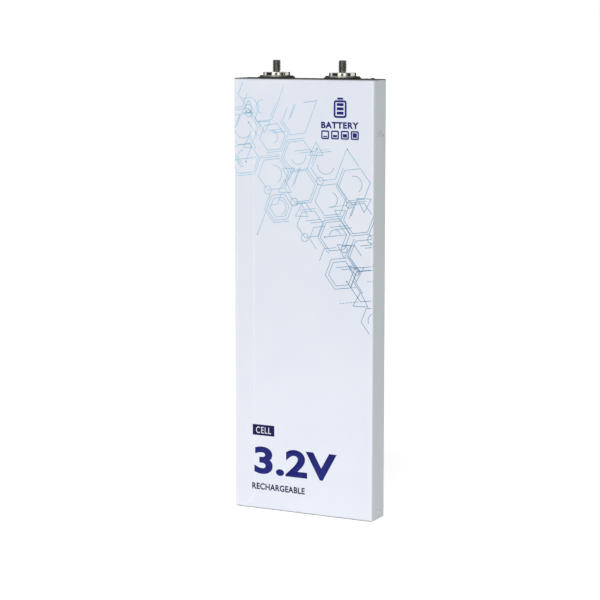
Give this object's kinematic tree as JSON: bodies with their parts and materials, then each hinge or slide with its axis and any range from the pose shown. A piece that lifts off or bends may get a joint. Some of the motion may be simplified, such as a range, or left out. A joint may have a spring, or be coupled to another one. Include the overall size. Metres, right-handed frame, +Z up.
{
  "type": "hard-cased pouch battery cell",
  "caption": "Flat upright rechargeable battery cell: a laminated pouch in a slim white rectangular case with a black lid and threaded stud terminals on top.",
  "frame": {"origin": "centre of the base, on the surface the cell stands on", "axes": "+X along the width from the negative to the positive terminal, +Y from the printed face to the back, +Z up towards the terminals"},
  "size_m": [0.106, 0.02, 0.3123],
  "materials": {
    "lid_black": "fine moulded grain",
    "film_white": "white wrap film, satin",
    "label_white": "printed white label, satin",
    "seat_black": "moulded insulator",
    "plated_steel": "nickel plated",
    "plate_metal": "turned",
    "can_aluminium": "drawn",
    "board_grey": "insulating board",
    "seal_rubber": "smooth",
    "plug_black": "smooth",
    "vent_foil": "rolled foil",
    "vent_ring_black": "moulded",
    "copper_plated": "nickel plated copper",
    "tab_sealant": "polypropylene film",
    "pouch_laminate": "foil laminate, satin",
    "cathode_coat": "iron phosphate coating on aluminium foil",
    "anode_coat": "graphite coating on copper foil",
    "separator_film": "microporous film",
    "tape_blue": "polyester tape",
    "pad_foam": "closed cell foam sheet",
    "spacer_plastic": "moulded"
  },
  "bodies": {
    "root": {"anode_sheets": "anode_coat", "base_pad": "pad_foam", "base_sheet": "board_grey", "case": "can_aluminium", "cathode_sheets": "cathode_coat", "face_label": "label_white", "front_pad": "pad_foam", "lid": "lid_black", "lid_seal": "seal_rubber", "negative_bracket": "copper_plated", "negative_clamp_nut": "plated_steel", "negative_contact_plate": "copper_plated", "negative_lock_washer": "plated_steel", "negative_o_ring": "seal_rubber", "negative_stud": "plated_steel", "negative_tab": "copper_plated", "negative_tab_film": "tab_sealant", "negative_terminal_seat": "seat_black", "port_plug": "plug_black", "positive_bracket": "plate_metal", "positive_clamp_nut": "plated_steel", "positive_contact_plate": "plate_metal", "positive_lock_washer": "plated_steel", "positive_o_ring": "seal_rubber", "positive_stud": "plated_steel", "positive_tab": "plate_metal", "positive_tab_film": "tab_sealant", "positive_terminal_seat": "seat_black", "pouch_front": "pouch_laminate", "pouch_rear": "pouch_laminate", "rear_pad": "pad_foam", "separator": "separator_film", "stack_tapes": "tape_blue", "tab_spacer": "spacer_plastic", "vent_disc": "vent_foil", "vent_ring": "vent_ring_black", "wrap_film": "film_white"}
  },
  "joints": []
}
